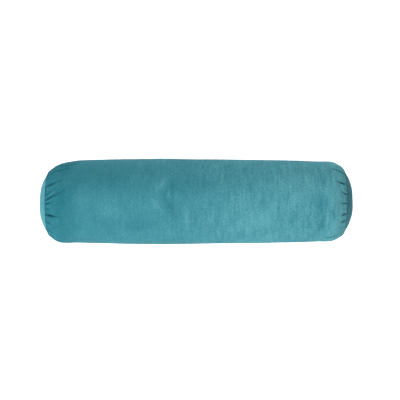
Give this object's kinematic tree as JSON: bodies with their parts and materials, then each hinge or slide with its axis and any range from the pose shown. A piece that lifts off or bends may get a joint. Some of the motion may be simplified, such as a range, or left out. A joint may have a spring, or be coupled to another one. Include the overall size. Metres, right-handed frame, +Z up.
{
  "type": "bolster pillow",
  "caption": "Round bolster pillow in teal velvet, gathered onto a domed panel at each end, with a removable zipped cover over a stuffed inner case.",
  "frame": {"origin": "on the resting plane, straight under the middle of the bolster", "axes": "+X along the bolster towards its right end, +Z up, +Y towards the zip side at the back"},
  "size_m": [0.8, 0.2199, 0.217],
  "materials": {
    "velvet": "soft cut pile, teal, nap shades from dark to pale as it is brushed",
    "cover_thread": "spun polyester, matched to the velvet",
    "zip_tape": "woven twill tape",
    "zip_coil": "dyed nylon coil, satin",
    "zip_metal": "nickel-plated, lightly scuffed",
    "label": "plain satin ribbon, blank",
    "ticking": "undyed plain-weave cotton",
    "case_thread": "undyed cotton",
    "fibre": "loose crimped polyester wadding"
  },
  "bodies": {
    "bolster": {"cover_body": "velvet", "cover_end_left": "velvet", "cover_end_right": "velvet", "cover_end_stitches_left": "cover_thread", "cover_end_stitches_right": "cover_thread", "gathering_threads_left": "cover_thread", "gathering_threads_right": "cover_thread", "long_seam_stitches_left": "cover_thread", "long_seam_stitches_right": "cover_thread", "zip_tape_upper": "zip_tape", "zip_tape_lower": "zip_tape", "zip_coil_upper": "zip_coil", "zip_coil_lower": "zip_coil", "zip_topstitch_upper": "cover_thread", "zip_topstitch_lower": "cover_thread", "zip_bar_tacks": "cover_thread", "zip_top_stops": "zip_metal", "zip_bottom_stop": "zip_metal", "care_label": "label", "case_body": "ticking", "case_end_left": "ticking", "case_end_right": "ticking", "case_end_stitches_left": "case_thread", "case_end_stitches_right": "case_thread", "case_closing_stitches": "case_thread", "fibre_fill": "fibre"},
    "slider": {"zip_slider": "zip_metal"},
    "pull_tab": {"zip_pull_tab": "zip_metal"}
  },
  "joints": [
    {"name": "slider_slide", "type": "slide", "parent": "bolster", "child": "slider", "axis": [1, 0, 0], "range_m": [0, 0.474], "deforming": ["zip_coil_upper", "zip_coil_lower"]},
    {"name": "pull_tab_hinge", "type": "hinge", "parent": "slider", "child": "pull_tab", "pos_m": [-0.236, 0.09688, 0.06182], "axis": [0, 0.4226, 0.9063], "range_deg": [0, 180]}
  ]
}
